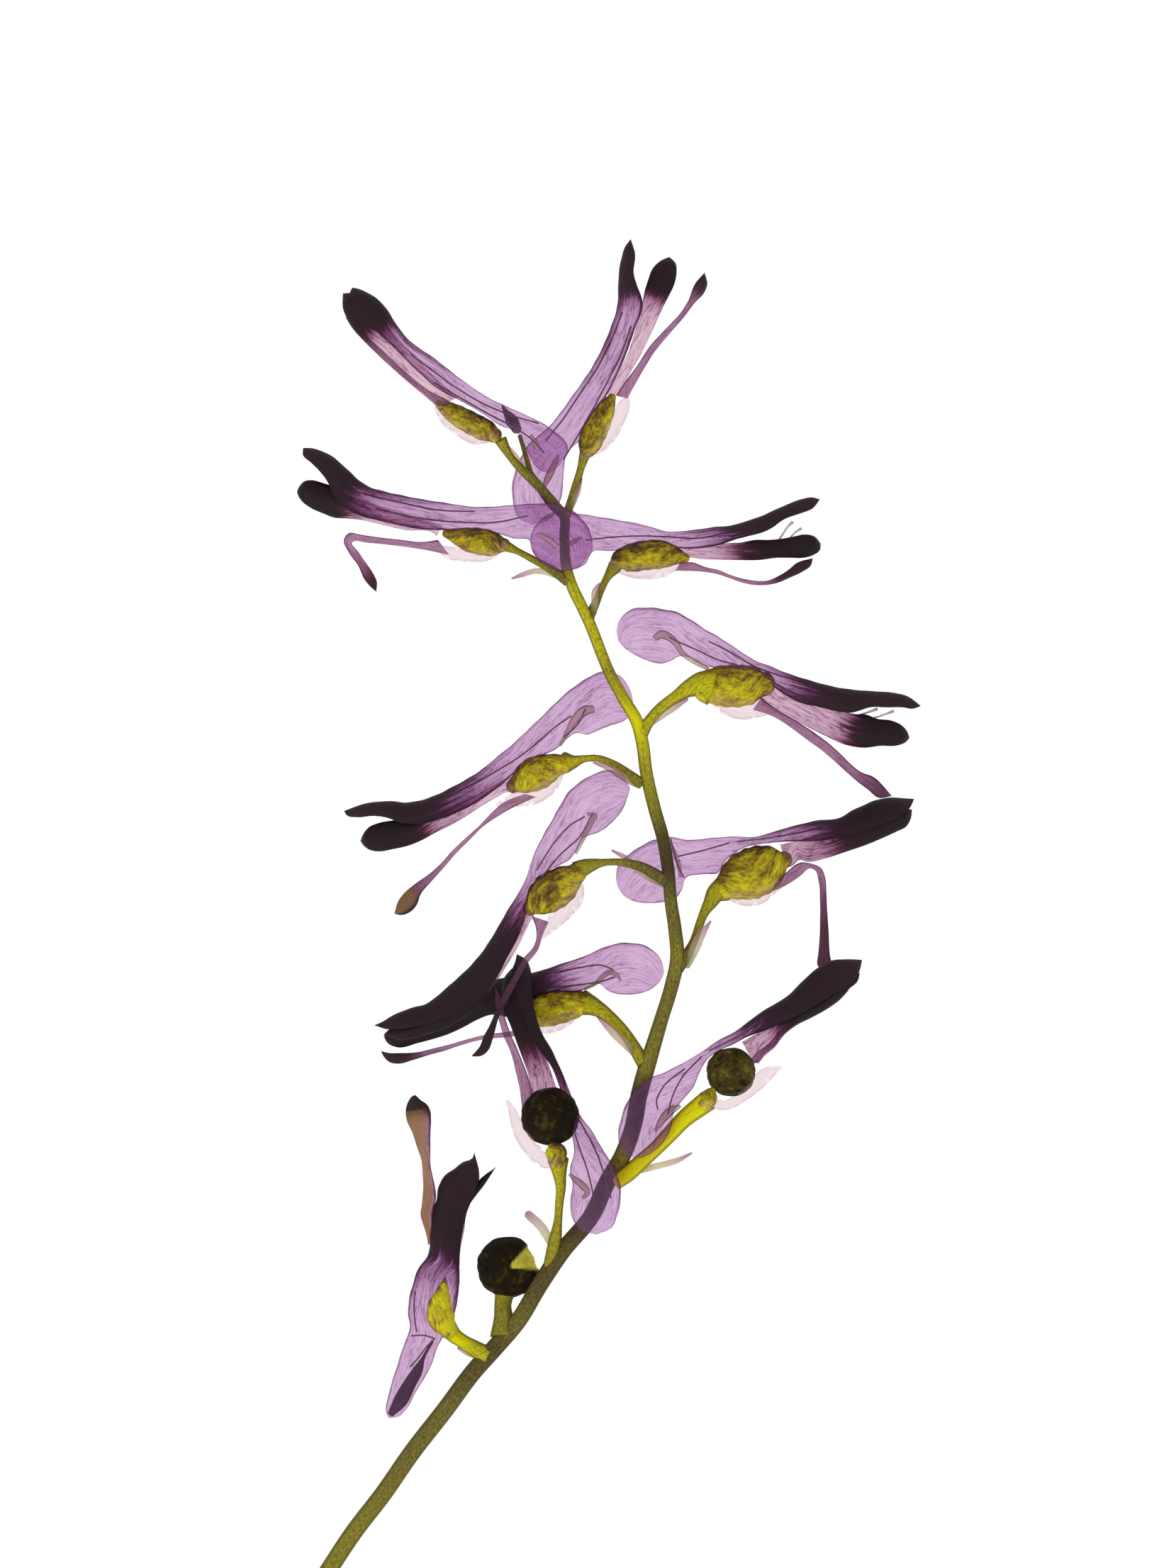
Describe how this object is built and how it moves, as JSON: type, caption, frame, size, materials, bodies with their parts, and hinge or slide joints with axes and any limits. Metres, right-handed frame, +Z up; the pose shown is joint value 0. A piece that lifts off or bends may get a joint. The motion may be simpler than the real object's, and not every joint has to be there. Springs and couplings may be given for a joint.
{
  "type": "fumitory raceme",
  "caption": "Cut flowering stem laid flat: slender curved stem with spurred tubular blossoms on short stalks, a tip bud and round fruits",
  "frame": {"origin": "centre of the bounding box, at the surface that the raceme lies on", "axes": "the raceme lies in the XY plane with its tip towards +Y and its cut end towards -Y; +Z is up"},
  "size_m": [0.0204, 0.0442, 0.0038],
  "materials": {
    "stem": "fresh green stem",
    "upper_petal": "translucent lilac petal",
    "inner_petals": "rose petal with a dark maroon tip",
    "lower_petal": "translucent mauve petal",
    "calyx": "olive green ovary with pale sepals",
    "fruit": "dark olive brown fruit wall",
    "bud": "dark plum bud"
  },
  "bodies": {
    "root": {"bud": "bud", "flower_01_calyx": "calyx", "flower_01_inner_petals": "inner_petals", "flower_01_lower_petal": "lower_petal", "flower_01_upper_petal": "upper_petal", "flower_02_calyx": "calyx", "flower_02_inner_petals": "inner_petals", "flower_02_lower_petal": "lower_petal", "flower_02_upper_petal": "upper_petal", "flower_03_calyx": "calyx", "flower_03_inner_petals": "inner_petals", "flower_03_lower_petal": "lower_petal", "flower_03_upper_petal": "upper_petal", "flower_04_calyx": "calyx", "flower_04_inner_petals": "inner_petals", "flower_04_lower_petal": "lower_petal", "flower_04_upper_petal": "upper_petal", "flower_05_calyx": "calyx", "flower_05_inner_petals": "inner_petals", "flower_05_lower_petal": "lower_petal", "flower_05_upper_petal": "upper_petal", "flower_06_calyx": "calyx", "flower_06_inner_petals": "inner_petals", "flower_06_lower_petal": "lower_petal", "flower_06_upper_petal": "upper_petal", "flower_07_calyx": "calyx", "flower_07_inner_petals": "inner_petals", "flower_07_lower_petal": "lower_petal", "flower_07_upper_petal": "upper_petal", "flower_08_calyx": "calyx", "flower_08_inner_petals": "inner_petals", "flower_08_lower_petal": "lower_petal", "flower_08_upper_petal": "upper_petal", "flower_09_calyx": "calyx", "flower_09_inner_petals": "inner_petals", "flower_09_lower_petal": "lower_petal", "flower_09_upper_petal": "upper_petal", "flower_10_calyx": "calyx", "flower_10_fruit": "fruit", "flower_10_inner_petals": "inner_petals", "flower_10_lower_petal": "lower_petal", "flower_10_upper_petal": "upper_petal", "flower_11_calyx": "calyx", "flower_11_fruit": "fruit", "flower_11_inner_petals": "inner_petals", "flower_11_lower_petal": "lower_petal", "flower_11_upper_petal": "upper_petal", "flower_12_calyx": "calyx", "flower_12_inner_petals": "inner_petals", "flower_12_lower_petal": "lower_petal", "flower_12_upper_petal": "upper_petal", "fruit_13": "fruit", "stem": "stem"}
  },
  "joints": []
}
